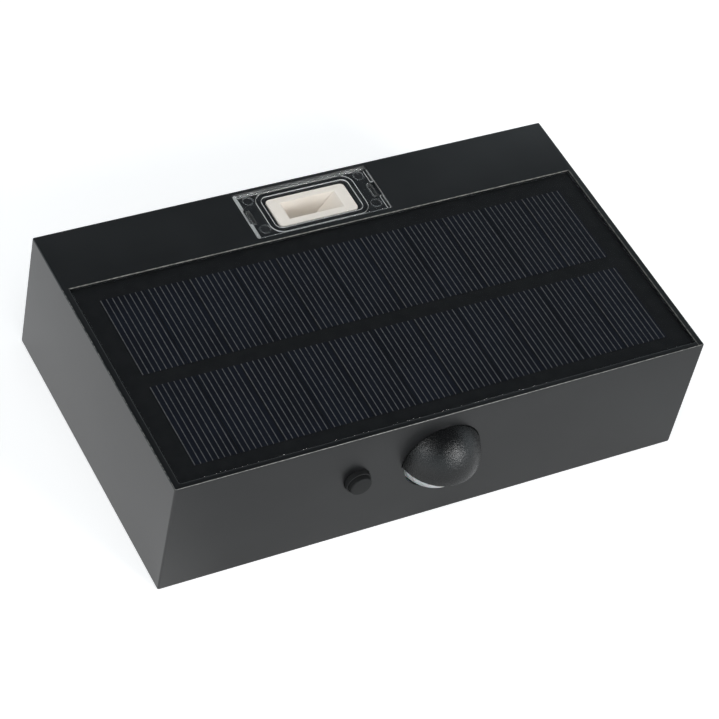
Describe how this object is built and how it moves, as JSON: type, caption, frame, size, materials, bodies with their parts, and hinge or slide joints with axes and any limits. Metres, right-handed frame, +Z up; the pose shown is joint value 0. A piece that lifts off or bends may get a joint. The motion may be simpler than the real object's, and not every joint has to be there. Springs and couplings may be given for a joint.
{
  "type": "solar fence light",
  "caption": "Box-shaped solar wall light with a panel on top, up and down light windows, a hooded motion sensor, a push button and keyholes behind.",
  "frame": {"origin": "centre of the flat back that lies against the wall or fence", "axes": "+X along the light's length, +Y into the wall, +Z up"},
  "size_m": [0.18, 0.1164, 0.0456],
  "materials": {
    "housing_plastic": "satin moulded black plastic",
    "cover_plastic": "matte moulded black plastic",
    "seal_rubber": "soft black rubber",
    "button_rubber": "matte black rubber",
    "screw_steel": "plated steel",
    "foam_tape": "black foam tape",
    "panel_laminate": "dark laminate",
    "silicon": "blue-black silicon with fine silver fingers",
    "clear_resin": "clear resin",
    "clear_plastic": "clear polycarbonate",
    "white_plastic": "glossy white plastic",
    "lens_plastic": "milky white plastic",
    "hood_plastic": "spark-grained semi-gloss black plastic",
    "inner_plastic": "black plastic",
    "circuit_green": "green solder mask",
    "led_board_white": "white-coated aluminium board",
    "led_body": "yellow phosphor",
    "sensor_metal": "nickel-plated can",
    "connector_plastic": "natural nylon",
    "component_black": "moulded components",
    "cell_wrap": "shrink wrap",
    "contact_nickel": "nickel strip",
    "lead_sheath": "insulated two-core lead"
  },
  "bodies": {
    "light": {"housing": "housing_plastic", "back_cover": "cover_plastic", "back_gasket": "seal_rubber", "cover_screws": "screw_steel", "panel_adhesive": "foam_tape", "panel_board": "panel_laminate", "solar_cells": "silicon", "panel_film": "clear_resin", "upper_window": "clear_plastic", "upper_reflector": "white_plastic", "upper_led_board": "led_board_white", "upper_leds": "led_body", "lower_window": "clear_plastic", "lower_reflector": "white_plastic", "lower_led_board": "led_board_white", "lower_leds": "led_body", "sensor_hood": "hood_plastic", "sensor_lens": "lens_plastic", "lens_retainer": "inner_plastic", "motion_sensor": "sensor_metal", "button_collar": "button_rubber", "switch_body": "component_black", "main_board": "circuit_green", "board_screws": "screw_steel", "lead_connectors": "connector_plastic", "board_components": "component_black", "battery_cell": "cell_wrap", "battery_cradle": "inner_plastic", "battery_contacts": "contact_nickel", "cradle_tape": "foam_tape", "battery_leads": "lead_sheath", "panel_leads": "lead_sheath", "upper_led_leads": "lead_sheath", "lower_led_leads": "lead_sheath"},
    "button": {"button_cap": "button_rubber"},
    "plunger": {"switch_plunger": "inner_plastic"}
  },
  "joints": [
    {"name": "button_press", "type": "slide", "parent": "light", "child": "button", "axis": [0, 1, 0], "range_m": [0, 0.0005], "stiffness_N_per_m": 1200, "springref_m": -0.0004},
    {"name": "plunger_travel", "type": "slide", "parent": "light", "child": "plunger", "axis": [0, 1, 0], "range_m": [0, 0.0005]}
  ],
  "couplings": [
    {"joint": "plunger_travel", "follows": "button_press", "ratio": 1}
  ]
}
